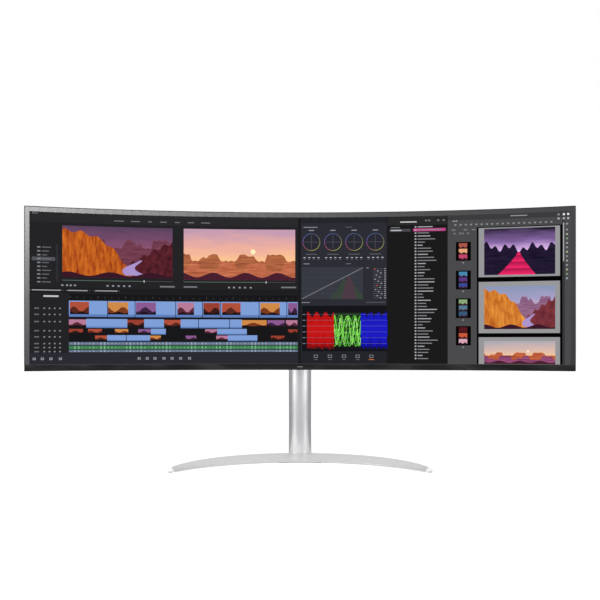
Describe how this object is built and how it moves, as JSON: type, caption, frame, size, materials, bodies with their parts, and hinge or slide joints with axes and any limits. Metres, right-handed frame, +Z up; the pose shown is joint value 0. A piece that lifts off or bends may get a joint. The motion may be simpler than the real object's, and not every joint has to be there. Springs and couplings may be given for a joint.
{
  "type": "computer monitor",
  "caption": "Very wide curved desktop monitor with a thin-framed display, a rear housing and a column stand that lifts, tilts and swivels on a crescent base.",
  "frame": {"origin": "centre of the footprint on the desk", "axes": "+Z up, the screen faces -Y, +X to the right as seen from the front"},
  "size_m": [1.1984, 0.2962, 0.571],
  "materials": {
    "white_paint": "satin",
    "brushed_facing": "brushed",
    "foot_rubber": "matte",
    "bearing_plastic": "matte",
    "satin_aluminium": "satin",
    "dark_plastic": "matte",
    "polished_steel": "polished",
    "zinc_steel": "plated",
    "black_screws": "black oxide",
    "washer_bronze": "matte",
    "display_glass": "glossy",
    "sheet_film": "translucent",
    "clear_acrylic": "clear",
    "lamp_strip": "matte",
    "frame_black": "gloss",
    "chin_black": "satin",
    "badge_grey": "satin",
    "light_pipe": "frosted",
    "cover_white": "satin",
    "circuit_green": "satin",
    "circuit_tan": "satin",
    "ribbon_film": "gloss",
    "speaker_grey": "matte"
  },
  "bodies": {
    "base": {"base_core": "white_paint", "base_facing": "brushed_facing", "foot_pads": "foot_rubber", "swivel_housing": "white_paint", "swivel_bush": "bearing_plastic"},
    "column": {"column_tube": "satin_aluminium", "column_foot": "satin_aluminium", "column_cap": "dark_plastic", "guide_rods": "polished_steel", "rod_block": "dark_plastic", "slot_liner": "dark_plastic", "spring_tape": "polished_steel", "spring_anchor": "zinc_steel", "cable_clip": "dark_plastic", "base_screw": "polished_steel"},
    "fold_ring": {"screw_ring": "polished_steel"},
    "lift_carriage": {"carriage": "satin_aluminium", "guide_bushes": "bearing_plastic", "neck_arm": "satin_aluminium", "neck_screws": "black_screws", "hinge_pin": "polished_steel", "friction_washers": "washer_bronze", "drum_pin": "polished_steel"},
    "drum": {"spring_drum": "polished_steel"},
    "release": {"release_button": "dark_plastic"},
    "joystick_ring": {"joystick_gimbal": "speaker_grey"},
    "joystick_lever": {"joystick_stick": "polished_steel"},
    "joystick_tip": {"joystick_cap": "dark_plastic"},
    "head": {"panel_frame": "dark_plastic", "speaker_boxes": "dark_plastic", "audio_socket": "dark_plastic", "mains_inlet": "dark_plastic", "release_spring": "polished_steel", "tilt_bracket": "zinc_steel", "mount_plate": "zinc_steel", "rear_plate": "zinc_steel", "panel_chassis": "zinc_steel", "connector_bracket": "zinc_steel", "video_sockets": "zinc_steel", "data_sockets": "zinc_steel", "mount_screws": "black_screws", "cover_screws": "black_screws", "lcd_cell": "display_glass", "optical_sheets": "sheet_film", "reflector_sheet": "sheet_film", "light_guide": "clear_acrylic", "led_bar": "lamp_strip", "outer_frame": "frame_black", "bottom_chin": "chin_black", "badge": "badge_grey", "power_light": "light_pipe", "back_cover": "cover_white", "rear_housing": "cover_white", "main_board": "circuit_green", "driver_board": "circuit_green", "joystick_board": "circuit_green", "power_board": "circuit_tan", "signal_ribbon": "ribbon_film", "panel_ribbons": "ribbon_film", "speaker_drivers": "speaker_grey"}
  },
  "joints": [
    {"name": "column_swivel", "type": "hinge", "parent": "base", "child": "column", "pos_m": [0, 0.1185, 0.012], "axis": [0, 0, 1], "range_deg": [-15, 15]},
    {"name": "screw_ring_fold", "type": "hinge", "parent": "column", "child": "fold_ring", "pos_m": [0, 0.1185, 0.0026], "axis": [-1, 0, 0], "range_deg": [0, 90]},
    {"name": "height_slide", "type": "slide", "parent": "column", "child": "lift_carriage", "axis": [0, 0, 1], "range_m": [-0.062, 0.048], "deforming": ["spring_tape"]},
    {"name": "drum_spin", "type": "hinge", "parent": "lift_carriage", "child": "drum", "pos_m": [0, 0.126, 0.354], "axis": [1, 0, 0], "range_deg": [-240, 310]},
    {"name": "head_tilt", "type": "hinge", "parent": "lift_carriage", "child": "head", "pos_m": [0, 0.078, 0.39], "axis": [-1, 0, 0], "range_deg": [-5, 15]},
    {"name": "release_press", "type": "slide", "parent": "head", "child": "release", "axis": [0, 0, 1], "range_m": [0, 0.003], "stiffness_N_per_m": 400, "deforming": ["release_spring"]},
    {"name": "joystick_left_right", "type": "hinge", "parent": "head", "child": "joystick_ring", "pos_m": [0, 0.0148, 0.2353], "axis": [0, 1, 0], "range_deg": [-5, 5], "stiffness_Nm_per_rad": 0.05},
    {"name": "joystick_front_back", "type": "hinge", "parent": "joystick_ring", "child": "joystick_lever", "pos_m": [0, 0.0148, 0.2353], "axis": [1, 0, 0], "range_deg": [-5, 5], "stiffness_Nm_per_rad": 0.05},
    {"name": "joystick_press", "type": "slide", "parent": "joystick_lever", "child": "joystick_tip", "axis": [0, 0, 1], "range_m": [0, 0.0008], "stiffness_N_per_m": 600}
  ],
  "couplings": [
    {"joint": "drum_spin", "follows": "height_slide", "rad_per_m": -86.957}
  ]
}
